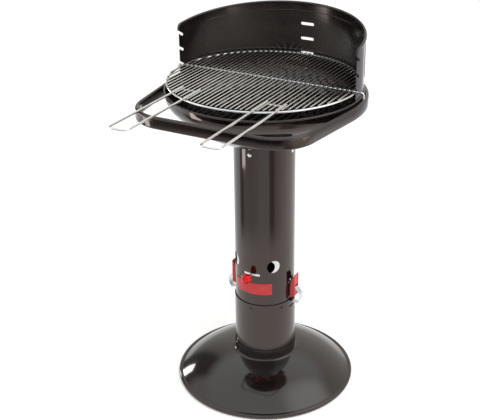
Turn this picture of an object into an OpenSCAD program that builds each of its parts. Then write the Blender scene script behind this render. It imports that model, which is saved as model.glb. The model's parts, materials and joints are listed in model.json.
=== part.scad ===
/* [Foot] */
// Radius of the foot at its rolled edge
foot_r = 240; // [200:1:280]
// Height of the rolled edge above the floor
foot_edge_h = 14; // [10:1:18]
// Height of the top of the dome, where the neck starts
foot_h = 79; // [70:1:95]
// Height of the neck that holds the lower tube
foot_neck_h = 31; // [20:1:40]
// Thickness of the enamelled sheet of the foot
foot_wall = 1.6; // [1.2:0.1:2.5]

/* [Column] */
// Outer radius of the lower tube
lower_r = 81; // [76:0.5:86]
// Wall of the lower tube
lower_wall = 2; // [1.5:0.1:2.5]
// Height of the top edge of the lower tube
lower_top = 248.5; // [235:0.5:260]
// Wall of the upper tube
upper_wall = 1.5; // [1:0.1:2]
// Radial play between the upper tube and the lower tube
tube_play = 0.5; // [0.3:0.1:1]
// Depth that the upper tube reaches into the lower tube
tube_overlap = 60; // [40:1:75]
// Radius of the small holes round the top of the lower tube
drain_hole_r = 2.6; // [1.5:0.1:4]
// Number of small holes round the top of the lower tube
drain_count = 6; // [3:1:8]

/* [Bowl] */
// Outer radius of the bowl's upright wall
bowl_r = 243.6; // [242.8:0.1:250]
// Height of the rim of the bowl above the floor
rim_h = 825; // [800:1:860]
// Depth of the bowl from its rim to its flat bottom
bowl_depth = 114; // [100:1:125]
// Radius where the slope of the bowl meets its flat bottom
bowl_floor_r = 137; // [120:1:145]
// Height from the rim down to the corner where the wall turns in
bowl_upright = 27.5; // [24:0.5:34]
// Radius of the turn from the wall to the slope
bowl_shoulder_r = 40; // [25:1:42]
// Thickness of the enamelled sheet of the bowl
bowl_wall = 1.2; // [1:0.1:1.4]
// Length of the bowl's neck inside the column
bowl_neck = 60; // [50:1:75]
// Height of the bowl screws below the flat bottom
bowl_screw_drop = 40; // [30:1:45]

/* [Rail] */
// Width of the oval tube of the rail
rail_w = 12; // [8:0.5:14]
// Height of the oval tube of the rail
rail_h = 31; // [24:1:32]
// Distance from the column's axis to the middle of the front bar
rail_front = 283.5; // [275:0.5:300]
// Radius of the front corners, to the middle of the tube
rail_corner_r = 95; // [70:1:110]
// Angle by which the sides of the rail draw in towards the front
rail_taper = 7.5; // [0:0.5:10]
// Height of the middle of the rail below the rim
rail_drop = 24; // [22:1:28]

/* [Wind screen] */
// Height of the screen's top edge above the rim, at its two ends
screen_end_h = 125; // [115:1:140]
// Extra height of the top edge at the back
screen_rise = 30; // [0:1:40]
// Thickness of the screen's sheet
screen_wall = 1.2; // [1:0.1:1.2]
// Radius of the bead along the top edge
screen_bead_r = 3.2; // [2.5:0.1:4]
// Number of heights for the cooking grid
level_count = 3; // [1:1:3]
// Step between the heights for the cooking grid
level_step = 39; // [30:1:40]
// Depth of the end notches
notch_depth = 15; // [12:1:20]
// Slope of the end notches
notch_slope = 30; // [20:1:35]

/* [Cooking grid] */
// Distance from the bowl's wall in to the middle of the ring's wire
grid_inset = 6.1; // [6:0.1:12]
// Height of the ring above the rim
grid_over_rim = 17; // [15:1:20]
// Distance between the bars of the grid
bar_pitch = 12; // [10:0.5:16]
// Radius of the bars of the grid
bar_r = 1.9; // [1.5:0.1:2.2]
// Radius of the wire of the ring and the carrying rod
ring_wire_r = 2.5; // [2:0.1:2.5]
// Distance from the column's axis to the tip of the handles
handle_reach = 457; // [380:1:480]
// Distance from the middle of the grid to the middle of each handle
handle_x = 114; // [90:1:130]
// Width of a handle, between the middles of its wires
handle_w = 48; // [40:1:60]
// Radius of the wire of the handles
handle_wire_r = 2.75; // [2:0.05:3]

/* [Charcoal grate] */
// Distance from the bowl's wall in to the middle of the grate's ring
grate_inset = 47.6; // [40:0.2:70]
// Distance between the bars of the grate
grate_pitch = 18; // [14:1:24]

/* [Air control] */
// Radius of the round air holes
air_hole_r = 18; // [12:0.5:20]
// Number of air holes
air_hole_count = 4; // [3:1:4]
// Height of the air holes
air_hole_z = 361; // [355:1:370]
// Angle by which the sleeve's holes lag the column's holes
sleeve_lag = 11; // [0:1:14]
// Angle that the sleeve turns to each side
sleeve_turn = 15; // [10:1:16]
// Radius of the round knob
knob_r = 13; // [10:0.5:14]
// Height of the knob's slot
knob_z = 337; // [334:1:340]

/* [Latches] */
// Height of the lever's pivot
pivot_z = 262.5; // [260:0.5:264]
// Length of the lever above its pivot
lever_len = 62; // [56:1:66]
// Width of the lever
lever_w = 24; // [22:0.5:26]
// Width of the clip's strap
clip_w = 16; // [12:0.5:17]

/* [Hidden] */
$fn = 96;

enamel = [0.10, 0.09, 0.09];
gloss_red = [0.80, 0.07, 0.08];
plate_red = [0.78, 0.20, 0.20];
bright_steel = [0.82, 0.82, 0.83];
zinc = [0.68, 0.69, 0.70];

gap = 0.1;
arc_error = 0.02;

// Column, from the fit of the two tubes
upper_r = lower_r - lower_wall - tube_play;
upper_in = upper_r - upper_wall;
lower_in = lower_r - lower_wall;
upper_bottom = lower_top - tube_overlap;

// Bowl
bowl_floor = rim_h - bowl_depth;
bead_r = 2.4;
bead_z = rim_h - bead_r;
shoulder_z = rim_h - bowl_upright;
wall_low_z = shoulder_z + 15;
upper_top = bowl_floor - gap;
neck_r = upper_in - 0.3;
bowl_screw_z = bowl_floor - bowl_screw_drop;
screw_r = 3;
screw_hole_r = screw_r + 0.2;

// Screen and grid
screen_r = bowl_r - bowl_wall - 0.2;
screen_in = screen_r - screen_wall;
screen_bottom = wall_low_z + 0.3;
grid_r = bowl_r - grid_inset;
grid_z = rim_h + grid_over_rim;
weld_sink = 0.4;
bar_z = grid_z + ring_wire_r + bar_r - weld_sink;
rod_y = notch_depth;
tongue_r = 2;
tongue_z = grid_z + 0.8;
tongue_half = 14;
tongue_reach = screen_in + 4.5;
slot_h = 7.5;
slot_w = 37;
slot_z = tongue_z - tongue_r - 0.3 + slot_h / 2;
panel_offset = 0.8;

// Rail
rail_z = rim_h - rail_drop;
rail_r = bowl_r + 0.4 + rail_w / 2;

// Air control
sleeve_r = upper_in - 0.3;
sleeve_wall = 1;
sleeve_bottom = air_hole_z - air_hole_r - 19;
sleeve_top = air_hole_z + air_hole_r + 12;
stud_r = 3;
knob_reach = upper_r + 24.5;
knob_slot_h = 2 * stud_r + 2;

// Latches
plate_t = 1.6;
pivot_x = upper_r + 8;
pin_r = 2;
pin_play = 0.05;
hook_x = pivot_x - 0.5;
hook_z = pivot_z + 25.5;
hook_pin_r = 1.8;
sheet = 1.5;
clip_t = 1.4;
catch_z = lower_top - 20.2;
catch_w = 26;
catch_h = 4.5;

module both_sides() for (a = [0, 180]) rotate([0, 0, a]) children();
module around(count, start = 0) for (i = [0:count - 1]) rotate([0, 0, start + i * 360 / count]) children();

// Unit vector, and the turn from one side of a corner to the next
function unit(v) = v / norm(v);
function turn(u, v) = u[0] * v[1] - u[1] * v[0];
function xy(p) = [p[0], p[1]];

// A corner [x, y, r] between p and s as points on its arc
function corner(p, q, s) =
    let (u = unit(xy(q) - xy(p)), v = unit(xy(s) - xy(q)),
         side = turn(u, v) > 0 ? 1 : -1,
         bend = acos(max(-1, min(1, u * v))),
         start = xy(q) - u * q[2] * tan(bend / 2),
         centre = start + side * q[2] * [-u[1], u[0]],
         steps = max(1, ceil(bend / (2 * acos(1 - arc_error / max(q[2], 0.5))))))
    q[2] == 0 ? [xy(q)] : [for (k = [0:steps])
        let (a = side * bend * k / steps, w = start - centre)
        centre + [w[0] * cos(a) - w[1] * sin(a), w[0] * sin(a) + w[1] * cos(a)]];

// From a corner to the same corner of the line moved to its left by t
function mitre(u, v, t) = t / (1 + u * v) * [-u[1] - v[1], u[0] + v[0]];

// The line moved to its left by t, listed backwards
function moved(line, t) =
    let (last = len(line) - 1)
    [for (i = [last:-1:0])
        let (u = i > 0 ? unit(xy(line[i]) - xy(line[i - 1])) : unit(xy(line[1]) - xy(line[0])),
             v = i < last ? unit(xy(line[i + 1]) - xy(line[i])) : u,
             q = xy(line[i]) + mitre(u, v, t),
             r = line[i][2] == 0 ? 0 : line[i][2] + (turn(u, v) > 0 ? -t : t))
        [q[0], q[1], max(0, r)]];

// A sheet of thickness t on the left of an open line with rounded corners
module skin(line, t) rounded(concat(line, moved(line, t)));

// A closed outline with rounded corners
module rounded(points) {
    n = len(points);
    polygon([for (i = [0:n - 1])
        for (p = corner(points[(i + n - 1) % n], points[i], points[(i + 1) % n])) p]);
}

module ring(outer, inner, z0, z1) difference() {
    translate([0, 0, z0]) cylinder(r = outer, h = z1 - z0);
    translate([0, 0, z0 - 1]) cylinder(r = inner, h = z1 - z0 + 2);
}

// A rod with its axis on +X, from x0 to x1
module rod_x(r, x0, x1) translate([x0, 0, 0]) rotate([0, 90, 0]) cylinder(r = r, h = x1 - x0);
module rod_y(r, y0, y1) translate([0, y0, 0]) rotate([-90, 0, 0]) cylinder(r = r, h = y1 - y0);

// A quarter bend of wire from +X towards +Y, its centre at the origin
module bend(wire, r, angle = 90) rotate_extrude(angle = angle) translate([r, 0]) circle(r = wire);

// Foot
foot_bead_r = foot_edge_h / 2;
foot_bead_x = foot_r - foot_bead_r;
foot_neck_in = lower_r + 0.3;
foot_top = foot_h + foot_neck_h;
foot_flat = 0.3;
foot_knee = [165, foot_h - 15];

module foot_profile() {
    skin([[foot_bead_x - 2, foot_edge_h - 2.2, 0], [foot_knee[0], foot_knee[1], 250],
          [foot_neck_in + 4, foot_h + 0.6, 5], [foot_neck_in + foot_wall, foot_top, 0]], foot_wall);
    // The rolled edge, flat where it stands on the floor
    intersection() {
        difference() {
            translate([foot_bead_x, foot_bead_r]) circle(r = foot_bead_r);
            translate([foot_bead_x, foot_bead_r]) circle(r = foot_bead_r - foot_wall);
            translate([foot_bead_x - foot_edge_h, foot_wall]) square([foot_edge_h, foot_bead_r]);
        }
        translate([0, foot_flat]) square([foot_r + 1, foot_edge_h]);
    }
}

module foot() color(enamel) translate([0, 0, -foot_flat]) rotate_extrude() foot_profile();

// Hidden joint of the foot and the lower tube
tube_bottom = foot_h - 9;
flange_in = 56;
flange_t = 2.5;
bolt_ring_r = 70;
clamp_t = 3;
clamp_rim_r = 96;
clamp_top = tube_bottom - gap;

module clamp_ring() color(zinc) difference() {
    rotate_extrude() skin([[clamp_rim_r, foot_h - 5, 0], [clamp_rim_r, clamp_top - clamp_t, 3],
                           [flange_in + 2, clamp_top - clamp_t, 0]], -clamp_t);
    around(4, 45) translate([bolt_ring_r, 0, 0]) cylinder(r = screw_hole_r, h = foot_h);
}

module tube_flange() color(enamel) difference() {
    ring(lower_in - gap, flange_in, tube_bottom + gap, tube_bottom + gap + flange_t);
    around(4, 45) translate([bolt_ring_r, 0, 0]) cylinder(r = screw_hole_r, h = foot_h + 20);
}

module hex(across, h) cylinder(d = across / cos(30), h = h, $fn = 6);

module foot_bolts() color(zinc) around(4, 45) translate([bolt_ring_r, 0, 0]) {
    translate([0, 0, tube_bottom + flange_t + 2 * gap]) hex(10, 4);
    translate([0, 0, clamp_top - clamp_t - 9]) cylinder(r = screw_r, h = clamp_t + flange_t + 9 + 4 * gap);
}

module foot_nuts() color(zinc) around(4, 45)
    translate([bolt_ring_r, 0, clamp_top - clamp_t - 5 - gap]) difference() {
        hex(10, 5);
        translate([0, 0, -1]) cylinder(r = screw_r + pin_play, h = 7);
    }

cup_top = tube_bottom + flange_t + 3 * gap;
cup_r = flange_in - 1.5;
cup_depth = 44;
cup_wall = 1;

module ash_cup() color(bright_steel) rotate_extrude()
    skin([[0, cup_top - cup_depth, 0], [cup_r, cup_top - cup_depth, 8], [cup_r, cup_top, 0],
          [flange_in + 6.5, cup_top, 0]], cup_wall);

// Column
drain_z = lower_top - 12;

module catch_slot() translate([lower_r, 0, catch_z]) cube([10, catch_w, catch_h], center = true);

module lower_tube() color(enamel) difference() {
    ring(lower_r, lower_in, tube_bottom, lower_top);
    around(drain_count, -90) translate([0, 0, drain_z]) rod_x(drain_hole_r, lower_in - 5, lower_r + 5);
    both_sides() catch_slot();
}

seat_ring_h = 18;

module seat_ring() color(zinc) rotate_extrude()
    skin([[lower_in - gap, upper_bottom - gap - seat_ring_h, 0], [lower_in - gap, upper_bottom - gap, 2],
          [upper_in - 4, upper_bottom - gap, 0]], sheet);

knob_slot_span = 2 * (sleeve_turn + asin(stud_r / upper_r) + 0.7);

// Screws of a latch's bracket: turned from its middle by an angle, and their height
bracket_fixings = [[0, pivot_z + 14], [-6, pivot_z + 46], [6, pivot_z + 46]];
bracket_screw_r = 2;

module upper_tube() color(enamel) difference() {
    ring(upper_r, upper_in, upper_bottom, upper_top);
    around(air_hole_count, -45) translate([0, 0, air_hole_z]) rod_x(air_hole_r, upper_in - 5, upper_r + 5);
    translate([0, 0, knob_z]) rotate([0, 0, -90 - knob_slot_span / 2]) rotate_extrude(angle = knob_slot_span)
        translate([upper_in - 2, -knob_slot_h / 2]) square([upper_wall + 4, knob_slot_h]);
    around(4) translate([0, 0, bowl_screw_z]) rod_x(screw_hole_r, upper_in - 5, upper_r + 5);
    both_sides() for (f = bracket_fixings) rotate([0, 0, f[0]]) translate([0, 0, f[1]])
        rod_x(bracket_screw_r + 0.1, upper_in - 5, upper_r + 5);
}

plate_span = 82;
plate_z0 = 281;
plate_z1 = 313;

module front_plate() color(plate_red) rotate([0, 0, -90 - plate_span / 2])
    rotate_extrude(angle = plate_span) translate([upper_r + gap, plate_z0]) square([1, plate_z1 - plate_z0]);

// Air control
module sleeve_ledge() color(zinc) rotate_extrude()
    skin([[upper_in - gap, sleeve_bottom - 8, 0], [upper_in - gap, sleeve_bottom - 0.3, 2],
          [upper_in - 6, sleeve_bottom - 0.3, 0]], sheet);

module air_sleeve() color(bright_steel) difference() {
    ring(sleeve_r, sleeve_r - sleeve_wall, sleeve_bottom, sleeve_top);
    around(air_hole_count, -45 - sleeve_lag) translate([0, 0, air_hole_z])
        rod_x(air_hole_r, sleeve_r - 6, sleeve_r + 5);
    rotate([0, 0, -90]) translate([0, 0, knob_z]) rod_x(stud_r + pin_play, sleeve_r - 6, sleeve_r + 5);
}

module knob_stud() color(zinc) rotate([0, 0, -90]) translate([0, 0, knob_z]) {
    rod_x(stud_r, sleeve_r - sleeve_wall - 5, knob_reach - knob_r + 6);
    translate([sleeve_r - sleeve_wall - 3.6, 0, 0]) rotate([0, 90, 0]) hex(9, 3);
}

module air_knob() color(gloss_red) rotate([0, 0, -90]) translate([knob_reach, 0, knob_z])
    rotate([0, 90, 0]) rotate_extrude() difference() {
        union() {
            intersection() {
                circle(r = knob_r);
                translate([0, -knob_r]) square([knob_r, 2 * knob_r]);
            }
            translate([0, -knob_r - 2]) square([stud_r + 3, 4]);
        }
        translate([-1, -knob_r - 3]) square([1 + stud_r + pin_play, 3 + 6 + pin_play]);
    }

// Latches, drawn on the +X side
tab_low = lower_top - 3.9;
tab_t = 1.8;
tab_reach = 4;

// The tabs that the clips' toes pull up against
module catch_tabs() color(enamel) both_sides() intersection() {
    ring(lower_r + tab_reach, lower_r + gap, tab_low, tab_low + tab_t);
    translate([lower_r - 5, -clip_w / 2 - 3, tab_low - 1]) cube([20, clip_w + 6, 5]);
}

bracket_w = 19;
bracket_top = pivot_z + 51;
bracket_low = pivot_z - 5;
ear_t = 1.5;
ear_r = 3.6;
ear_x = sqrt(pow(upper_r + gap + plate_t / 2, 2) - pow(bracket_w / 2, 2));

module latch_bracket() difference() {
    union() {
        intersection() {
            ring(upper_r + gap + plate_t, upper_r + gap, bracket_low, bracket_top);
            translate([upper_r - 5, -bracket_w / 2, bracket_low - 1]) cube([20, bracket_w, bracket_top]);
        }
        for (y = [-bracket_w / 2, bracket_w / 2 - ear_t]) translate([0, y + ear_t, 0]) rotate([90, 0, 0])
            linear_extrude(ear_t)
                rounded([[ear_x, pivot_z - ear_r, 0], [pivot_x + ear_r, pivot_z - ear_r, ear_r],
                         [pivot_x + ear_r, pivot_z + ear_r, 3], [ear_x, pivot_z + 16, 0]]);
    }
    translate([pivot_x, 0, pivot_z]) rod_y(pin_r + gap / 2, -bracket_w, bracket_w);
    for (f = bracket_fixings) rotate([0, 0, f[0]]) translate([0, 0, f[1]])
        rod_x(bracket_screw_r + 0.1, upper_r - 5, upper_r + 9);
}

module latch_bracket_right() color(enamel) latch_bracket();
module latch_bracket_left() color(enamel) rotate([0, 0, 180]) latch_bracket();

module bracket_screws() color(zinc) both_sides() for (f = bracket_fixings)
    rotate([0, 0, f[0]]) translate([0, 0, f[1]]) {
        rod_x(bracket_screw_r, upper_in - 5, upper_r + plate_t + 1);
        translate([upper_r + plate_t + 2 * gap, 0, 0]) rotate([0, 90, 0])
            cylinder(r1 = 2.9, r2 = 2.2, h = 1.4);
    }

module bracket_nuts() color(zinc) both_sides() for (f = bracket_fixings)
    rotate([0, 0, f[0]]) translate([upper_in - 3.4, 0, f[1]]) rotate([0, 90, 0]) difference() {
        hex(7, 2.8);
        translate([0, 0, -1]) cylinder(r = bracket_screw_r + pin_play, h = 5);
    }

module lever_pins() color(gloss_red) both_sides() translate([pivot_x, 0, pivot_z])
    rod_y(pin_r, -lever_w / 2 - 0.5, lever_w / 2 + 0.5);

lever_top = pivot_z + lever_len;
lever_out = 7.1;
lever_in = 6;
slit_low = hook_z - 5.8;
slit_top = hook_z + 4.8;

// Seen from the side: a deep channel at the pivot, drawn out to a thin edge at the top
module lever_outline() rounded([
    [pivot_x - lever_in, pivot_z - 7.9, 4], [pivot_x + lever_out, pivot_z - 0.5, 1],
    [pivot_x + lever_out, lever_top, 0], [pivot_x + lever_out - 1, lever_top, 0],
    [pivot_x + 0.7, lever_top - 7.4, 4], [pivot_x - 3.2, lever_top - 23, 0],
    [pivot_x - lever_in, lever_top - 39, 0]]);

module latch_lever() difference() {
    translate([0, lever_w / 2, 0]) rotate([90, 0, 0]) linear_extrude(lever_w) lever_outline();
    // The inside of the channel, open towards the column and below
    translate([pivot_x - 20, -lever_w / 2 + sheet, pivot_z - 20])
        cube([20 + lever_out - sheet, lever_w - 2 * sheet, lever_len + 30]);
    translate([pivot_x, 0, pivot_z]) rod_y(pin_r + pin_play, -lever_w, lever_w);
    translate([hook_x, 0, hook_z]) rod_y(hook_pin_r + gap / 2, -lever_w, lever_w);
    // The slit that the strap comes out of
    translate([hook_x, -clip_w / 2 - 0.6, slit_low]) cube([14, clip_w + 1.2, slit_top - slit_low]);
}

module latch_lever_right() color(gloss_red) latch_lever();
module latch_lever_left() color(gloss_red) rotate([0, 0, 180]) latch_lever();

module clip_pin() translate([hook_x, 0, hook_z]) rod_y(hook_pin_r, -lever_w / 2 - 0.4, lever_w / 2 + 0.4);
module clip_pin_right() color(gloss_red) clip_pin();
module clip_pin_left() color(gloss_red) rotate([0, 0, 180]) clip_pin();

bow_r = 27.6;
bow_x = hook_x - 6.3;
bow_z = hook_z - 27.5;
bow_end = -47.5;
toe_x = lower_r + 0.4;
toe_z = tab_low - 2 * gap - clip_t / 2;

module strap(p, q) let (u = unit(q - p), n = clip_t / 2 * [-u[1], u[0]])
    polygon([p - n, q - n, q + n, p + n]);

module latch_clip() translate([0, clip_w / 2, 0]) rotate([90, 0, 0]) linear_extrude(clip_w) {
    bow_low = [bow_x + bow_r * cos(bow_end), bow_z + bow_r * sin(bow_end)];
    heel = [toe_x + 3, toe_z];
    difference() {
        union() {
            translate([hook_x, hook_z]) circle(r = hook_pin_r + clip_t + 0.2);
            intersection() {
                translate([bow_x, bow_z]) difference() {
                    circle(r = bow_r + clip_t / 2);
                    circle(r = bow_r - clip_t / 2);
                }
                polygon([[bow_x, bow_z], [hook_x + 0.6, hook_z + 4], [bow_x + 50, bow_z + 30],
                         [bow_x, bow_z] + 40 * [cos(bow_end), sin(bow_end)]]);
            }
        }
        translate([hook_x, hook_z]) circle(r = hook_pin_r + pin_play);
    }
    translate(bow_low) circle(r = clip_t / 2);
    strap(bow_low, heel);
    strap([toe_x, toe_z], heel);
    translate(heel) circle(r = clip_t / 2);
}

module latch_clip_right() color(zinc) latch_clip();
module latch_clip_left() color(zinc) rotate([0, 0, 180]) latch_clip();

// Bowl
bowl_knee = [bowl_r - 53.3, bowl_floor + 25.7];
bowl_knee_r = 265;
bowl_line = [[neck_r, bowl_floor - bowl_neck, 0], [neck_r, bowl_floor, 0], [bowl_floor_r, bowl_floor, 15],
             [bowl_knee[0], bowl_knee[1], bowl_knee_r], [bowl_r, shoulder_z, bowl_shoulder_r],
             [bowl_r, bead_z - 1, 0]];

module bowl() color(enamel) difference() {
    union() {
        rotate_extrude() skin(bowl_line, bowl_wall);
        // The rolled rim
        rotate_extrude() difference() {
            translate([bowl_r - 0.2, bead_z]) circle(r = bead_r);
            translate([0, bead_z - 5]) square([bowl_r - bowl_wall, 10]);
        }
    }
    around(4) translate([0, 0, bowl_screw_z]) rod_x(screw_hole_r, neck_r - 8, neck_r + 5);
    for (a = rail_bolt_angles) rotate([0, 0, a]) translate([0, 0, rail_z])
        rod_x(screw_hole_r, bowl_r - 14, bowl_r + 3);
    for (a = rivet_angles) rotate([0, 0, a]) translate([0, 0, rivet_z])
        rod_x(rivet_r + 0.1, bowl_r - 5, bowl_r + 3);
}

module bowl_screws() color(bright_steel) around(4) translate([0, 0, bowl_screw_z]) {
    rod_x(screw_r, neck_r - bowl_wall - 8, upper_r + 1);
    translate([upper_r + gap, 0, 0]) rotate([0, 90, 0]) intersection() {
        cylinder(r = 5.5, h = 3.2);
        translate([0, 0, -3.5]) sphere(r = 6.7);
    }
}

module bowl_nuts() color(zinc) around(4)
    translate([neck_r - bowl_wall - 5.6, 0, bowl_screw_z]) rotate([0, 90, 0]) difference() {
        hex(10, 5);
        translate([0, 0, -1]) cylinder(r = screw_r + pin_play, h = 7);
    }

// Wire rings with parallel bars
module wire_ring(r, wire) rotate_extrude() translate([r, 0]) circle(r = wire);

module bars(r, pitch, wire) {
    last = floor((r - 6) / pitch);
    for (i = [-last:last]) let (half = sqrt(r * r - pow(i * pitch, 2)))
        translate([i * pitch, 0, 0]) rod_y(wire, -half, half);
}

grate_r = bowl_r - grate_inset;
grate_wire_r = 3;
grate_bar_r = 2.2;

// The ring lies on the long arc of the bowl's slope
knee_centre = bowl_knee + mitre(unit(bowl_knee - [bowl_floor_r, bowl_floor]),
                                unit([bowl_r, shoulder_z] - bowl_knee), bowl_knee_r);
grate_z = knee_centre[1] - sqrt(pow(bowl_knee_r - bowl_wall - grate_wire_r - 0.3, 2)
                                - pow(grate_r - knee_centre[0], 2));

module charcoal_grate() color(bright_steel) {
    translate([0, 0, grate_z]) wire_ring(grate_r, grate_wire_r);
    translate([0, 0, grate_z + grate_wire_r + grate_bar_r - weld_sink])
        bars(grate_r, grate_pitch, grate_bar_r);
}

// Wind screen
screen_slope = atan(screen_rise / screen_r);
screen_top = rim_h + screen_end_h;
edge_z = screen_top - screen_bead_r;
bead_path_r = screen_r + 0.4;
screen_corner_r = 12;
corner_angle = asin(screen_corner_r / bead_path_r);
rivet_angles = [12, 90, 168];
rivet_z = rim_h - 7.5;
rivet_r = 1.8;
panel_angle = 22;
panel_low = rim_h + 27;
panel_drop = 24;
panel_corner = 14;

// The upright half circle of sheet, its inner face at radius r
module screen_half(r) difference() {
    rotate_extrude(angle = 180) translate([r, screen_bottom])
        square([screen_wall, screen_top + screen_rise + 5 - screen_bottom]);
    translate([0, 0, edge_z]) rotate([screen_slope, 0, 0]) translate([-300, -50, 0]) cube([600, 400, 100]);
}

// What a rounded corner takes off a square one, cut along X
module corner_cut(r) rotate([90, 0, 90]) linear_extrude(40) difference() {
    translate([-1, -1]) square([r + 1, r + 1]);
    translate([r, r]) circle(r = r);
}

module panel_space() difference() {
    rotate([0, 0, panel_angle]) rotate_extrude(angle = 180 - 2 * panel_angle)
        translate([screen_in - 5, panel_low]) square([15, screen_top + screen_rise - panel_low]);
    translate([0, 0, screen_top - panel_drop]) rotate([screen_slope, 0, 0])
        translate([-300, 0, 0]) cube([600, 300, 100]);
    for (side = [0, 1]) mirror([side, 0, 0]) rotate([0, 0, panel_angle]) translate([screen_in - 10, 0, 0]) {
        translate([0, 0, panel_low]) corner_cut(panel_corner);
        translate([0, 0, screen_top - panel_drop + sin(panel_angle) * screen_rise + 1]) mirror([0, 0, 1])
            corner_cut(panel_corner);
    }
}

// Where the carrying rod goes in: from the end edge, in and down
module notch(level) translate([0, rod_y, grid_z + level * level_step]) rotate([-notch_slope, 0, 0]) {
    rod_x(ring_wire_r + 0.8, -screen_r - 20, screen_r + 20);
    translate([-screen_r - 20, -40, -ring_wire_r - 0.8])
        cube([2 * screen_r + 40, 40, 2 * (ring_wire_r + 0.8)]);
}

module back_slot(level) translate([0, screen_r - 15, slot_z + level * level_step]) rotate([-90, 0, 0])
    linear_extrude(30) {
        square([slot_w - slot_h, slot_h], center = true);
        for (x = [-1, 1]) translate([x * (slot_w - slot_h) / 2, 0]) circle(d = slot_h);
    }

// The rolled bead of the top edge, bent down at both ends
module screen_bead() {
    translate([0, 0, edge_z]) rotate([screen_slope, 0, 0]) rotate([0, 0, corner_angle])
        rotate_extrude(angle = 180 - 2 * corner_angle) translate([bead_path_r, 0]) circle(r = screen_bead_r);
    for (side = [0, 1]) mirror([side, 0, 0]) {
        x = bead_path_r * cos(corner_angle);
        y = screen_corner_r * cos(screen_slope);
        z = edge_z + screen_corner_r * sin(screen_slope);
        translate([x, y, z]) sphere(r = screen_bead_r + 0.03);
        translate([x, y, z - screen_corner_r]) rotate([0, -90, 0]) rotate([0, 0, -90])
            rotate_extrude(angle = 90) translate([screen_corner_r, 0]) circle(r = screen_bead_r);
        translate([x, y - screen_corner_r, z - screen_corner_r]) sphere(r = screen_bead_r + 0.03);
    }
}

module wind_screen() color(enamel) {
    difference() {
        union() {
            difference() {
                screen_half(screen_in);
                panel_space();
            }
            intersection() {
                screen_half(screen_in + panel_offset);
                panel_space();
            }
        }
        for (level = [0:level_count - 1]) {
            notch(level);
            back_slot(level);
        }
        translate([0, 0, edge_z]) for (side = [0, 1]) mirror([side, 0, 0])
            translate([screen_r - 20, 0, 0]) mirror([0, 0, 1]) corner_cut(screen_corner_r);
        for (a = rivet_angles) rotate([0, 0, a]) translate([0, 0, rivet_z])
            rod_x(rivet_r + 0.1, screen_in - 5, screen_r + 5);
    }
    screen_bead();
}

module screen_rivets() color(zinc) for (a = rivet_angles) rotate([0, 0, a]) translate([0, 0, rivet_z]) {
    rod_x(rivet_r, screen_in - 0.5, bowl_r + 0.5);
    rod_x(2.7, bowl_r + gap, bowl_r + 1);
    rod_x(2.7, screen_in - 1, screen_in - gap);
}

// Rail: a flat oval tube round the bowl, drawn in at the front
corner_y = -rail_front + rail_corner_r;
corner_x = (rail_r - rail_corner_r + corner_y * sin(rail_taper)) / cos(rail_taper);
side_len = norm([rail_r * cos(rail_taper) - corner_x - rail_corner_r * cos(rail_taper),
                 -rail_r * sin(rail_taper) - corner_y + rail_corner_r * sin(rail_taper)]);
rail_wall = 1.5;
rail_bolt_angles = [0, 90, 180];

module oval(w, h) {
    square([w, h - w], center = true);
    for (y = [-1, 1]) translate([0, y * (h - w) / 2]) circle(d = w);
}

module rail_run(w, h) translate([0, 0, rail_z]) {
    rotate([0, 0, -rail_taper]) rotate_extrude(angle = 180 + 2 * rail_taper)
        translate([rail_r, 0]) oval(w, h);
    for (side = [0, 1]) mirror([side, 0, 0]) {
        rotate([0, 0, -rail_taper]) translate([rail_r, 0, 0]) rotate([90, 0, 0]) linear_extrude(side_len)
            oval(w, h);
        translate([corner_x, corner_y, 0]) rotate([0, 0, -90]) rotate_extrude(angle = 90 - rail_taper)
            translate([rail_corner_r, 0]) oval(w, h);
    }
    translate([-corner_x, -rail_front, 0]) rotate([90, 0, 90]) linear_extrude(2 * corner_x) oval(w, h);
}

module rail() color(enamel) difference() {
    union() {
        difference() {
            rail_run(rail_w, rail_h);
            rail_run(rail_w - 2 * rail_wall, rail_h - 2 * rail_wall);
        }
        // Plugs inside the tube where its two bent halves are welded together
        for (side = [0, 1]) mirror([side, 0, 0]) translate([corner_x, corner_y, rail_z])
            rotate([0, 0, -rail_taper]) translate([rail_corner_r, 2, 0]) rotate([90, 0, 0])
            linear_extrude(4) oval(rail_w - rail_wall, rail_h - rail_wall);
    }
    for (a = rail_bolt_angles) rotate([0, 0, a]) translate([0, 0, rail_z])
        rod_x(screw_hole_r, rail_r - rail_w, rail_r);
}

module rail_bolts() color(zinc) for (a = rail_bolt_angles) rotate([0, 0, a]) translate([0, 0, rail_z]) {
    rod_x(screw_r, bowl_r - 8, rail_r + 3);
    translate([bowl_r - 6.2, 0, 0]) rotate([0, -90, 0]) intersection() {
        cylinder(r = 5, h = 3);
        translate([0, 0, -3.5]) sphere(r = 6.3);
    }
}

module rail_spacers() color(zinc) for (a = rail_bolt_angles) rotate([0, 0, a]) translate([0, 0, rail_z])
    difference() {
        rod_x(5, bowl_r - 0.5, rail_r - rail_w / 2 - gap);
        rod_x(screw_r + pin_play, bowl_r - 2, rail_r);
    }

// Cooking grid
handle_corner = 13;
handle_z = grid_z + ring_wire_r + handle_wire_r - weld_sink;
handle_start = 157;
rod_end_x = screen_r + 14;
rod_drop = 14;
rod_bend = 6;

// A wire bent into a U: two legs from y0 to y1 and rounded corners at y1
module wire_loop(wire, half, y0, y1, r) {
    for (side = [0, 1]) mirror([side, 0, 0]) {
        translate([half, 0, 0]) rod_y(wire, y0, y1 - r);
        translate([half - r, y1 - r, 0]) bend(wire, r);
    }
    rod_x_at(wire, half - r, y1);
}

module rod_x_at(wire, half, y) translate([0, y, 0]) rod_x(wire, -half, half);

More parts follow.
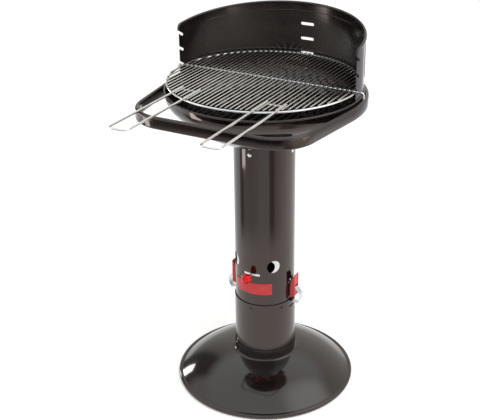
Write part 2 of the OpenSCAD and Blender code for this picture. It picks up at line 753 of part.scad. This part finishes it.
module cooking_grid() color(bright_steel) {
    translate([0, 0, grid_z]) {
        wire_ring(grid_r, ring_wire_r);
        translate([0, rod_y, 0]) {
            rod_x(ring_wire_r, rod_bend - rod_end_x, rod_end_x - rod_bend);
            for (side = [0, 1]) mirror([side, 0, 0]) translate([rod_end_x - rod_bend, 0, -rod_bend]) {
                rotate([90, 0, 0]) bend(ring_wire_r, rod_bend);
                translate([rod_bend, 0, rod_bend - rod_drop])
                    cylinder(r = ring_wire_r, h = rod_drop - rod_bend);
            }
        }
        for (side = [-1, 1]) translate([side * handle_x, -handle_start, 0])
            rod_x(ring_wire_r, -handle_w / 2 - 8, handle_w / 2 + 8);
    }
    translate([0, 0, bar_z]) bars(grid_r, bar_pitch, bar_r);
    for (side = [-1, 1]) translate([side * handle_x, 0, handle_z]) rotate([0, 0, 180])
        wire_loop(handle_wire_r, handle_w / 2, handle_start - 4, handle_reach, handle_corner);
    translate([0, 0, tongue_z]) wire_loop(tongue_r, tongue_half - tongue_r, grid_r - 1,
        tongue_reach - tongue_r, 4);
}

foot();
clamp_ring();
tube_flange();
foot_bolts();
foot_nuts();
ash_cup();
lower_tube();
seat_ring();
upper_tube();
front_plate();
sleeve_ledge();
air_sleeve();
knob_stud();
air_knob();
catch_tabs();
latch_bracket_right();
latch_bracket_left();
bracket_screws();
bracket_nuts();
lever_pins();
latch_lever_right();
latch_lever_left();
clip_pin_right();
clip_pin_left();
latch_clip_right();
latch_clip_left();
bowl();
bowl_screws();
bowl_nuts();
charcoal_grate();
wind_screen();
screen_rivets();
rail();
rail_bolts();
rail_spacers();
cooking_grid();
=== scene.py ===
"""Looks of the column charcoal grill: its finishes, the floor, the lights and the camera."""

import json
import math

import bpy
from mathutils import Matrix


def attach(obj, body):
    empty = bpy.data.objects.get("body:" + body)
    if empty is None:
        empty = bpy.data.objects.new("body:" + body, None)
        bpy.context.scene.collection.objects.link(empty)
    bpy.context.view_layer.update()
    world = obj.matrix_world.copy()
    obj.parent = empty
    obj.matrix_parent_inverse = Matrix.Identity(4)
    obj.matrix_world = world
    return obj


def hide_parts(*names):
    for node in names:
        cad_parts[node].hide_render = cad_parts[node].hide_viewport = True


# The photograph's view. Place in metres, angles in degrees, lens and sensor in millimetres.
CAMERA_PLACE = (1.1212, -2.1088, 1.6220)
CAMERA_TURN = 28.0
CAMERA_DOWN = 25.78
CAMERA_ROLL = -0.24
CAMERA_LENS = 76.5
CAMERA_SENSOR = 36.0
CAMERA_SHIFT = (-0.0516, 0.0151)

# Curved faces shade smooth where neighbours meet below this angle, in degrees, after points that lie
# within this distance of each other, in metres, are merged
SMOOTH_BELOW = 28.0
DOUBLES_WITHIN = 0.000002

# Sizes of surface patterns, in metres. The grains and lines of the wire, the zinc, the sheet and the powder
# coat are finer on the real one, and are drawn this coarse so that they show.
ENAMEL_RIPPLE = 0.009
ENAMEL_SPECK = 0.0022
ENAMEL_CLOUD = 1 / 14
SOOT = 0.007
DRAWN_LINE = 0.0009
WIRE_CLOUD = 1 / 45
SPANGLE = 0.004
ZINC_GRAIN = 1 / 900
BRUSH_LINE = 0.0007
BRUSH_LENGTH = 0.04
POWDER_GRAIN = 0.0012
POWDER_CLOUD = 1 / 60
PHENOLIC_CLOUD = 1 / 120

# The enamel mirrors white a little warm
ENAMEL_GLOSS = "#ffe9e2"
WHITE = "#ffffff"
BLACK = "#000000"

# The foot's neck, in metres: the top and height of its wall, how far the wall leans out at its root, the
# width of the round root, the radius where that ends, and the level that everything below keeps
NECK_TOP = 0.1097
NECK_TALL = 0.0267
NECK_LEAN = 0.0021
NECK_ROOT = 0.0103
NECK_ROOT_R = 0.0955
DOME_TOP = 0.0745

# The screen's pressed panel, in metres and in degrees: how far its sides lie from the end edges, its lower
# edge, its upper edge at the ends of the screen, its corners and the ridge along its edge
PANEL_SIDE = 22.0
PANEL_LOW = 0.852
PANEL_TOP_END = 0.926
PANEL_CORNER = 0.014
PANEL_CORNER_STEP = 15
PANEL_LINE = 0.0012
SCREEN_RISE = 0.03
SCREEN_INSIDE_R = 0.241
SCREEN_OUTSIDE_R = 0.2422

# Kinds of nodes that come up often
NOISE = "ShaderNodeTexNoise"
MAP_RANGE = "ShaderNodeMapRange"

# The colour sockets of a mix node, which share their names with its other kinds
MIX_FIRST = 6
MIX_SECOND = 7
MIX_RESULT = 2

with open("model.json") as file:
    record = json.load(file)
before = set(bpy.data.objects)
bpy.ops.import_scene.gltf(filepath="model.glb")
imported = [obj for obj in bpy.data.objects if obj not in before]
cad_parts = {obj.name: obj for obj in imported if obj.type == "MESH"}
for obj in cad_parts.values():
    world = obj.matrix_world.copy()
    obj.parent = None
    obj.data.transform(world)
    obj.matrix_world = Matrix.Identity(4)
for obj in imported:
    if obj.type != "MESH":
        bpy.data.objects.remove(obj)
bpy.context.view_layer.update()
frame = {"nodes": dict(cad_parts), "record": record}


def linear(hex_colour):
    """An sRGB hex colour as the linear colour that a socket takes."""
    channels = [int(hex_colour[i : i + 2], 16) / 255 for i in (1, 3, 5)]
    curve = [c / 12.92 if c <= 0.04045 else ((c + 0.055) / 1.055) ** 2.4 for c in channels]
    return (*curve, 1.0)


def add_node(tree, kind, settings=None, links=None):
    """Adds a node. Settings fill its properties or sockets, and links join its sockets to outputs."""
    made = tree.nodes.new(kind)
    for name, value in (settings or {}).items():
        if isinstance(name, str) and hasattr(made, name):
            setattr(made, name, value)
        else:
            made.inputs[name].default_value = value
    for name, socket in (links or {}).items():
        tree.links.new(socket, made.inputs[name])
    return made


def colour_stops(tree, share, stops):
    """The colour that a share from 0 to 1 picks between stops of a place and a hex colour."""
    ramp = add_node(tree, "ShaderNodeValToRGB", links={"Fac": share})
    elements = ramp.color_ramp.elements
    while len(elements) < len(stops):
        elements.new(0.5)
    for element, (position, colour) in zip(elements, stops):
        element.position = position
        element.color = linear(colour)
    return ramp.outputs["Color"]


def new_material(name):
    """An empty node material, its tree and the place on the piece that its patterns follow."""
    material = bpy.data.materials.new(name)
    material.use_nodes = True
    tree = material.node_tree
    tree.nodes.clear()
    return material, tree, add_node(tree, "ShaderNodeTexCoord").outputs["Object"]


def coat(tree, settings, tones, roughness, bump=None):
    """Ends a material. Tones, roughness and bump each start with the pattern that they follow."""
    tone_pattern, low, high = tones
    rough_pattern, smoothest, roughest = roughness
    rough = add_node(tree, MAP_RANGE, {"To Min": smoothest, "To Max": roughest}, {"Value": rough_pattern})
    links = {
        "Base Color": colour_stops(tree, tone_pattern, ((0.0, low), (1.0, high))),
        "Roughness": rough.outputs["Result"],
    }
    if bump:
        height, strength, distance = bump
        relief = add_node(
            tree, "ShaderNodeBump", {"Strength": strength, "Distance": distance}, {"Height": height}
        )
        links["Normal"] = relief.outputs["Normal"]
    shader = add_node(tree, "ShaderNodeBsdfPrincipled", settings, links)
    add_node(tree, "ShaderNodeOutputMaterial", links={"Surface": shader.outputs["BSDF"]})


def vitreous_enamel(name, smoothest, roughest):
    """Black glass enamel fused to sheet steel: deep gloss, a faint orange-peel ripple, little colour."""
    material, tree, place = new_material(name)
    ripple = add_node(tree, NOISE, {"Scale": 1 / ENAMEL_RIPPLE, "Detail": 1.5}, {"Vector": place})
    speck = add_node(tree, NOISE, {"Scale": 1 / ENAMEL_SPECK, "Detail": 3.0}, {"Vector": place})
    cloud = add_node(tree, NOISE, {"Scale": 1 / ENAMEL_CLOUD, "Detail": 2.0}, {"Vector": place})
    coat(
        tree,
        {"IOR": 1.7, "Specular Tint": linear(ENAMEL_GLOSS)},
        tones=(cloud.outputs["Fac"], "#100c0b", "#161110"),
        roughness=(speck.outputs["Fac"], smoothest, roughest),
        bump=(ripple.outputs["Fac"], 0.06, 0.0004),
    )
    return material


def charred_enamel():
    """Enamel of the grate after some fires: matt and sooty, hardly any gloss left."""
    material, tree, place = new_material("charred_enamel")
    soot = add_node(tree, NOISE, {"Scale": 1 / SOOT, "Detail": 3.0}, {"Vector": place})
    coat(
        tree,
        {"IOR": 1.5, "Specular IOR Level": 0.25},
        tones=(soot.outputs["Fac"], "#120f0e", "#1d1917"),
        roughness=(soot.outputs["Fac"], 0.5, 0.75),
    )
    return material


def plated_wire():
    """Nickel-chrome plated drawn wire: bright, with fine lines left by the drawing die."""
    material, tree, place = new_material("plated_wire")
    lines = add_node(tree, NOISE, {"Scale": 1 / DRAWN_LINE, "Detail": 2.0}, {"Vector": place})
    cloud = add_node(tree, NOISE, {"Scale": 1 / WIRE_CLOUD, "Detail": 2.0}, {"Vector": place})
    coat(
        tree,
        {"Metallic": 1.0},
        tones=(cloud.outputs["Fac"], "#dad5d1", "#f7f2ee"),
        roughness=(lines.outputs["Fac"], 0.12, 0.26),
    )
    return material


def zinc_plate():
    """Bright zinc-plated steel: a cool grey metal with a faint cloudy spangle."""
    material, tree, place = new_material("zinc_plate")
    spangle = add_node(tree, "ShaderNodeTexVoronoi", {"Scale": 1 / SPANGLE}, {"Vector": place})
    grain = add_node(tree, NOISE, {"Scale": 1 / ZINC_GRAIN, "Detail": 2.0}, {"Vector": place})
    coat(
        tree,
        {"Metallic": 1.0},
        tones=(spangle.outputs["Distance"], "#c9cbcd", "#e4e5e6"),
        roughness=(grain.outputs["Fac"], 0.2, 0.38),
        bump=(grain.outputs["Fac"], 0.15, 0.0001),
    )
    return material


def brushed_sheet():
    """Brushed stainless sheet of the air ring: fine level lines round the column."""
    material, tree, place = new_material("brushed_sheet")
    stretch = (1 / BRUSH_LENGTH, 1 / BRUSH_LENGTH, 1 / BRUSH_LINE)
    stretched = add_node(tree, "ShaderNodeMapping", {"Scale": stretch}, {"Vector": place}).outputs["Vector"]
    lines = add_node(tree, NOISE, {"Scale": 1.0, "Detail": 3.0}, {"Vector": stretched})
    coat(
        tree,
        {"Metallic": 1.0},
        tones=(lines.outputs["Fac"], "#cdcdcc", "#eeeeed"),
        roughness=(lines.outputs["Fac"], 0.22, 0.36),
    )
    return material


def red_powder_coat():
    """Red polyester powder coat on steel: even colour, satin gloss, a fine pebbled grain."""
    material, tree, place = new_material("red_powder_coat")
    grain = add_node(tree, NOISE, {"Scale": 1 / POWDER_GRAIN, "Detail": 2.0}, {"Vector": place})
    cloud = add_node(tree, NOISE, {"Scale": 1 / POWDER_CLOUD, "Detail": 1.0}, {"Vector": place})
    coat(
        tree,
        {"IOR": 1.5},
        tones=(cloud.outputs["Fac"], "#bd2529", "#cd2f33"),
        roughness=(grain.outputs["Fac"], 0.26, 0.4),
        bump=(grain.outputs["Fac"], 0.25, 0.0001),
    )
    return material


def red_phenolic():
    """Moulded red phenolic of the ball knob: a hard glossy skin over a solid colour."""
    material, tree, place = new_material("red_phenolic")
    cloud = add_node(tree, NOISE, {"Scale": 1 / PHENOLIC_CLOUD, "Detail": 1.0}, {"Vector": place})
    coat(
        tree,
        {"IOR": 1.5, "Specular IOR Level": 0.3},
        tones=(cloud.outputs["Fac"], "#cb0a10", "#dc0f15"),
        roughness=(cloud.outputs["Fac"], 0.08, 0.14),
    )
    return material


ENAMEL = vitreous_enamel("vitreous_enamel", smoothest=0.04, roughest=0.09)
SCREEN_ENAMEL = vitreous_enamel("heat_dulled_enamel", smoothest=0.15, roughest=0.19)
FOOT_ENAMEL = vitreous_enamel("rippled_enamel", smoothest=0.08, roughest=0.12)
CHARRED = charred_enamel()
WIRE = plated_wire()
ZINC = zinc_plate()
BRUSHED = brushed_sheet()
POWDER = red_powder_coat()
PHENOLIC = red_phenolic()


def paint(piece, material):
    """Makes the material the piece's only finish."""
    piece.data.materials.clear()
    piece.data.materials.append(material)


def only_select(piece):
    """Makes the piece the one that operators work on."""
    bpy.ops.object.select_all(action="DESELECT")
    piece.select_set(True)
    bpy.context.view_layer.objects.active = piece


def smooth_skin(node, name, body, slot, material):
    """Stands for a CAD node: a copy with its doubles merged, so that its curved faces shade smooth."""
    piece = bpy.data.objects.new(name, frame["nodes"][node].data.copy())
    bpy.context.scene.collection.objects.link(piece)
    only_select(piece)
    bpy.ops.mesh.customdata_custom_splitnormals_clear()
    bpy.ops.object.mode_set(mode="EDIT")
    bpy.ops.mesh.select_all(action="SELECT")
    bpy.ops.mesh.remove_doubles(threshold=DOUBLES_WITHIN)
    bpy.ops.object.mode_set(mode="OBJECT")
    bpy.ops.object.shade_smooth_by_angle(angle=math.radians(SMOOTH_BELOW))
    paint(piece, material)
    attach(piece, body)
    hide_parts(node)
    return piece


def straighten_neck(foot_skin):
    """Stands the neck's wall upright in the foot's skin, so that it mirrors the dark dome below it."""
    for vertex in foot_skin.data.vertices:
        reach = math.hypot(vertex.co.x, vertex.co.y)
        if vertex.co.z < DOME_TOP or reach > NECK_ROOT_R:
            continue
        depth = min(1.0, (NECK_TOP - vertex.co.z) / NECK_TALL)
        root = min(1.0, (NECK_ROOT_R - reach) / NECK_ROOT)
        pulled = (reach - NECK_LEAN * depth * root) / reach
        vertex.co.x *= pulled
        vertex.co.y *= pulled


# Node, the name of its skin, body, record slot and finish
SKINS = (
    ("foot", "foot_dome", "stand", "enamel", FOOT_ENAMEL),
    ("lower_tube", "lower_column", "stand", "enamel", ENAMEL),
    ("upper_tube", "upper_column", "stand", "enamel", ENAMEL),
    ("front_plate", "bare_plate", "stand", "red_plate", POWDER),
    ("bowl", "bowl_shell", "stand", "enamel", ENAMEL),
    ("rail", "oval_rail", "stand", "enamel", ENAMEL),
    ("wind_screen", "screen_shell", "stand", "enamel", SCREEN_ENAMEL),
    ("latch_bracket_right", "bracket_right", "stand", "enamel", ENAMEL),
    ("latch_bracket_left", "bracket_left", "stand", "enamel", ENAMEL),
    ("bowl_screws", "bowl_screw_heads", "stand", "steel", BRUSHED),
    ("bracket_screws", "bracket_screw_heads", "stand", "zinc", ZINC),
    ("lever_pins", "lever_pivots", "stand", "red_plate", POWDER),
    ("ash_cup", "ash_bowl", "stand", "steel", BRUSHED),
    ("air_sleeve", "air_ring", "air_control", "steel", BRUSHED),
    ("knob_stud", "knob_stem", "air_control", "zinc", ZINC),
    ("air_knob", "ball_knob", "air_control", "red_knob", PHENOLIC),
    ("latch_lever_right", "lever_right_channel", "lever_right", "red_plate", POWDER),
    ("latch_lever_left", "lever_left_channel", "lever_left", "red_plate", POWDER),
    ("clip_pin_right", "clip_right_pin", "lever_right", "red_plate", POWDER),
    ("clip_pin_left", "clip_left_pin", "lever_left", "red_plate", POWDER),
    ("latch_clip_right", "clip_right_strap", "clip_right", "zinc", ZINC),
    ("latch_clip_left", "clip_left_strap", "clip_left", "zinc", ZINC),
    ("cooking_grid", "wire_grid", "grid", "chrome", WIRE),
    ("charcoal_grate", "wire_grate", "grate", "enamel", CHARRED),
)
skins = {skin[0]: smooth_skin(*skin) for skin in SKINS}
straighten_neck(skins["foot"])


def panel_outline(radius):
    """The pressed panel's outline on the screen: a closed line with round corners, higher at the back."""
    half = radius * math.radians(90.0 - PANEL_SIDE)
    top = PANEL_TOP_END + SCREEN_RISE * math.sin(math.radians(PANEL_SIDE))
    inner = half - PANEL_CORNER
    flat = []
    for side, height, start in ((1, PANEL_LOW, -90), (1, top, 0), (-1, top, 90), (-1, PANEL_LOW, 180)):
        lift = PANEL_CORNER if height == PANEL_LOW else -PANEL_CORNER
        for step in range(0, 91, PANEL_CORNER_STEP):
            angle = math.radians(start + step)
            along = side * inner + PANEL_CORNER * math.cos(angle)
            flat.append((along, height + lift + PANEL_CORNER * math.sin(angle)))
    points = []
    for (along, height), (next_along, next_height) in zip(flat, flat[1:] + flat[:1]):
        steps = max(1, round(abs(next_along - along) / PANEL_CORNER))
        for step in range(steps):
            share = step / steps
            turn = (along + (next_along - along) * share) / radius
            level = height + (next_height - height) * share
            if level > top - PANEL_LINE:
                level = PANEL_TOP_END + SCREEN_RISE * math.cos(turn)
            points.append((radius * math.sin(turn), radius * math.cos(turn), level))
    return points


def panel_line(name, radius):
    """The fine rounded ridge round the pressed panel, on one face of the screen. The CAD node has none."""
    curve = bpy.data.curves.new(name, "CURVE")
    curve.dimensions = "3D"
    curve.bevel_depth = PANEL_LINE
    curve.bevel_resolution = 2
    spline = curve.splines.new("POLY")
    points = panel_outline(radius)
    spline.points.add(len(points) - 1)
    for point, place in zip(spline.points, points):
        point.co = (*place, 1.0)
    spline.use_cyclic_u = True
    piece = bpy.data.objects.new(name, curve)
    bpy.context.scene.collection.objects.link(piece)
    only_select(piece)
    bpy.ops.object.convert(target="MESH")
    bpy.ops.object.shade_smooth()
    paint(piece, ENAMEL)
    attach(piece, "stand")


panel_line("panel_line_inside", SCREEN_INSIDE_R)
panel_line("panel_line_outside", SCREEN_OUTSIDE_R)

# The nodes that have no skin keep their CAD meshes
SLOT_FINISH = {"enamel": ENAMEL, "zinc": ZINC, "steel": BRUSHED, "chrome": WIRE}
for row in frame["record"]["subparts"]:
    if row["node"] not in skins:
        paint(frame["nodes"][row["node"]], SLOT_FINISH[row["material_slot"]])

# The floor and the world as the camera and the dull surfaces see them: the paper's own light for the
# camera, and the world's strength as light
FLOOR_SIZE = 30.0
FLOOR_COLOUR = "#f4f1f0"
FLOOR_LIFT = 0.3
WORLD_ON_OBJECT = 0.75

# The studio as the gloss mirrors it. On the paper its light and shade are painted into a glow that only
# glossy rays see, darker in wedges and far off towards the front. Each row is a compass direction, in
# degrees from the front with the right positive, and the colour there.
LIT_PAPER_NEAR = "#f3f2f1"
LIT_PAPER_MIDDLE = (
    (-110, "#e4ebed"),
    (-76, "#e4ebed"),
    (-70, "#8a7e79"),
    (-58, "#8a7e79"),
    (-50, "#c2bdbf"),
    (-15, "#c2c1c4"),
    (15, "#d6dce1"),
    (42, "#d6dcde"),
    (48, "#8f867e"),
    (60, "#8f867e"),
    (68, "#cbc6c4"),
    (115, "#f6f5f7"),
)
LIT_PAPER_FAR = (
    (-75, "#fbfbfa"),
    (-60, "#fbfbfa"),
    (-46, "#9c9b9a"),
    (-25, "#2e2b28"),
    (36, "#2e2b28"),
    (52, "#9c9b9a"),
    (68, "#edebe4"),
    (98, "#e6e0d5"),
    (130, "#b5b7bc"),
)
WALLS = (
    (-140, "#cecfcb"),
    (-126, "#a8aba8"),
    (-120, "#5f6262"),
    (-100, "#5f6262"),
    (-88, "#d4dcde"),
    (-30, "#dbe4e6"),
    (60, "#d2dadc"),
    (100, "#fafcfc"),
    (140, "#cecfcb"),
)
CEILING = "#e8fbff"

# A painted bright patch on the paper, seen only in the gloss, that glows as a lamp would though there is
# none, and a soft painted glow beyond it
PAINTED_PATCH = (
    (-62, BLACK),
    (-61, "#dadada"),
    (-46, "#dadada"),
    (-45, BLACK),
)
GLOW = (
    (-95, BLACK),
    (-84, "#a0a0a0"),
    (-64, "#b4b4b4"),
    (-52, "#b4b4b4"),
    (-42, "#8c8c8c"),
    (-36, BLACK),
    (50, BLACK),
    (70, "#7c7c7c"),
    (105, "#7c7c7c"),
    (125, BLACK),
)

# Where one part of the paper goes over into the next, in metres from the column's axis
NEAR_TO_MIDDLE = (0.8, 1.08)
MIDDLE_TO_FAR = (1.9, 2.5)
PAINTED_PATCH_EDGE = (1.54, 1.57)
PAINTED_PATCH_TO_GLOW = (2.7, 2.9)

# Where the walls go over into the ceiling: the upward part of a ray
WALLS_TO_CEILING = (0.55, 0.75)

# A round lamp overhead, in the gloss alone: the ray towards it, and the cosines from which it glows and at
# which it is brightest
DISC_TOWARD = (0.59, 0.19, 0.785)
DISC_EDGE = (0.88, 0.995)

# How bright the mirrored studio is, and its painted bright patch and lamp
STUDIO_GAIN = 1.3
PAINTED_PATCH_GAIN = 8.0
DISC_GAIN = 2.3

# Lamps: name, watts, compass turn, height, distance, width and height of its face, the height that it is
# aimed at, and whether the gloss mirrors it
LAMPS = (
    ("overhead", 45.0, 60.0, 3.2, 1.6, (1.6, 1.6), 0.5, False),
    ("right_panel", 8.0, 112.0, 2.1, 1.6, (1.2, 1.0), 0.0, False),
    ("left_window", 4.6, -103.5, 0.46, 2.18, (0.26, 0.42), 0.3, True),
)


def compass_colour(tree, place, stops):
    """The colour of a place or a ray by its compass direction."""
    along = add_node(tree, "ShaderNodeSeparateXYZ", links={"Vector": place})
    front = add_node(tree, "ShaderNodeMath", {"operation": "MULTIPLY", 1: -1.0}, {0: along.outputs["Y"]})
    turn = add_node(
        tree, "ShaderNodeMath", {"operation": "ARCTAN2"}, {0: along.outputs["X"], 1: front.outputs["Value"]}
    ).outputs["Value"]
    share = add_node(tree, MAP_RANGE, {"From Min": -math.pi, "From Max": math.pi}, {"Value": turn})
    shares = [(0.5 + degrees / 360, colour) for degrees, colour in stops]
    return colour_stops(tree, share.outputs["Result"], shares)


def blend(tree, value, span, first, second):
    """The first colour where the value is below the span, the second above it."""
    low, high = span
    share = add_node(
        tree,
        MAP_RANGE,
        {"interpolation_type": "SMOOTHSTEP", "From Min": low, "From Max": high},
        {"Value": value},
    )
    mixed = add_node(tree, "ShaderNodeMix", {"data_type": "RGBA"}, {0: share.outputs["Result"]})
    for socket, colour in ((mixed.inputs[MIX_FIRST], first), (mixed.inputs[MIX_SECOND], second)):
        if isinstance(colour, str):
            socket.default_value = linear(colour)
        else:
            tree.links.new(colour, socket)
    return mixed.outputs[MIX_RESULT]


def mirrored_paper(tree, place):
    """The paper as the gloss mirrors it: painted light and shade, with the painted bright patch and glow on
    it.
    """
    reach = add_node(tree, "ShaderNodeVectorMath", {"operation": "LENGTH"}, {0: place}).outputs["Value"]
    near_middle = blend(tree, reach, NEAR_TO_MIDDLE, LIT_PAPER_NEAR, compass_colour(tree, place, LIT_PAPER_MIDDLE))
    paper = blend(tree, reach, MIDDLE_TO_FAR, near_middle, compass_colour(tree, place, LIT_PAPER_FAR))
    lights = blend(
        tree, reach, PAINTED_PATCH_TO_GLOW, compass_colour(tree, place, PAINTED_PATCH), compass_colour(tree, place, GLOW)
    )
    lit = blend(tree, reach, PAINTED_PATCH_EDGE, BLACK, lights)
    colour = add_node(
        tree,
        "ShaderNodeMix",
        {"data_type": "RGBA", MIX_SECOND: linear(WHITE)},
        {0: lit, MIX_FIRST: paper},
    ).outputs[MIX_RESULT]
    gain = add_node(tree, MAP_RANGE, {"To Min": STUDIO_GAIN, "To Max": PAINTED_PATCH_GAIN}, {"Value": lit})
    return add_node(tree, "ShaderNodeEmission", links={"Color": colour, "Strength": gain.outputs["Result"]})


def pale_floor():
    """White studio paper, with a little light of its own for the camera, and the studio's light and shade
    painted into what the gloss sees of it.
    """
    bpy.ops.mesh.primitive_plane_add(size=FLOOR_SIZE)
    floor = bpy.context.active_object
    floor.name = "floor"
    material, tree, place = new_material("studio_paper")
    path = add_node(tree, "ShaderNodeLightPath")
    lift = add_node(tree, MAP_RANGE, {"To Max": FLOOR_LIFT}, {"Value": path.outputs["Is Camera Ray"]})
    paper = add_node(
        tree,
        "ShaderNodeBsdfPrincipled",
        {"Base Color": linear(FLOOR_COLOUR), "Roughness": 0.9, "Emission Color": linear(WHITE)},
        {"Emission Strength": lift.outputs["Result"]},
    )
    mirrored = mirrored_paper(tree, place)
    either = add_node(
        tree,
        "ShaderNodeMixShader",
        links={0: path.outputs["Is Glossy Ray"], 1: paper.outputs[0], 2: mirrored.outputs[0]},
    )
    add_node(tree, "ShaderNodeOutputMaterial", links={"Surface": either.outputs[0]})
    # The paper is met by rays, and isn't aimed at as a lamp is
    material.cycles.emission_sampling = "NONE"
    paint(floor, material)


def white_world():
    """White for the camera, even and pale as light, and the studio's walls and ceiling in the gloss."""
    world = bpy.data.worlds.new("studio")
    bpy.context.scene.world = world
    world.use_nodes = True
    tree = world.node_tree
    tree.nodes.clear()
    path = add_node(tree, "ShaderNodeLightPath")
    ray = add_node(tree, "ShaderNodeTexCoord").outputs["Generated"]
    along = add_node(tree, "ShaderNodeSeparateXYZ", links={"Vector": ray})
    walls = compass_colour(tree, ray, WALLS)
    studio = blend(tree, along.outputs["Z"], WALLS_TO_CEILING, walls, CEILING)
    toward = add_node(
        tree, "ShaderNodeVectorMath", {"operation": "DOT_PRODUCT", 1: DISC_TOWARD}, {0: ray}
    ).outputs["Value"]
    disc_low, disc_high = DISC_EDGE
    gain = add_node(
        tree,
        MAP_RANGE,
        {
            "interpolation_type": "SMOOTHSTEP",
            "From Min": disc_low,
            "From Max": disc_high,
            "To Min": STUDIO_GAIN,
            "To Max": DISC_GAIN,
        },
        {"Value": toward},
    ).outputs["Result"]
    mirrored = add_node(tree, "ShaderNodeBackground", links={"Color": studio, "Strength": gain})
    seen = path.outputs["Is Camera Ray"]
    strength = add_node(tree, MAP_RANGE, {"To Min": WORLD_ON_OBJECT}, {"Value": seen}).outputs["Result"]
    plain = add_node(tree, "ShaderNodeBackground", {"Color": linear(WHITE)}, {"Strength": strength})
    either = add_node(
        tree,
        "ShaderNodeMixShader",
        links={0: path.outputs["Is Glossy Ray"], 1: plain.outputs[0], 2: mirrored.outputs[0]},
    )
    add_node(tree, "ShaderNodeOutputWorld", links={"Surface": either.outputs[0]})


def soft_box(name, watts, turn, height, distance, size, aim, mirrored):
    """A rectangular lamp on the compass turn round the object, aimed at a height on the column's axis."""
    lamp = bpy.data.lights.new(name, "AREA")
    lamp.shape = "RECTANGLE"
    lamp.size, lamp.size_y = size
    lamp.energy = watts
    holder = bpy.data.objects.new(name, lamp)
    bpy.context.scene.collection.objects.link(holder)
    angle = math.radians(turn)
    holder.location = (distance * math.sin(angle), -distance * math.cos(angle), height)
    down = math.atan2(height - aim, distance)
    holder.rotation_euler = (math.pi / 2 - down, 0.0, angle)
    holder.visible_glossy = mirrored


pale_floor()
white_world()
for lamp in LAMPS:
    soft_box(*lamp)


def photo_camera():
    """The photograph's camera: turned round the column, tipped down, and rolled a hair."""
    lens = bpy.data.cameras.new("photo_camera")
    lens.lens = CAMERA_LENS
    lens.sensor_width = CAMERA_SENSOR
    lens.shift_x, lens.shift_y = CAMERA_SHIFT
    camera = bpy.data.objects.new("photo_camera", lens)
    bpy.context.scene.collection.objects.link(camera)
    turned = Matrix.Rotation(math.radians(CAMERA_TURN), 4, "Z")
    tipped = Matrix.Rotation(math.radians(90.0 - CAMERA_DOWN), 4, "X")
    rolled = Matrix.Rotation(math.radians(CAMERA_ROLL), 4, "Z")
    camera.matrix_world = Matrix.Translation(CAMERA_PLACE) @ turned @ tipped @ rolled
    bpy.context.scene.camera = camera


photo_camera()
bpy.context.scene.view_settings.view_transform = "Standard"
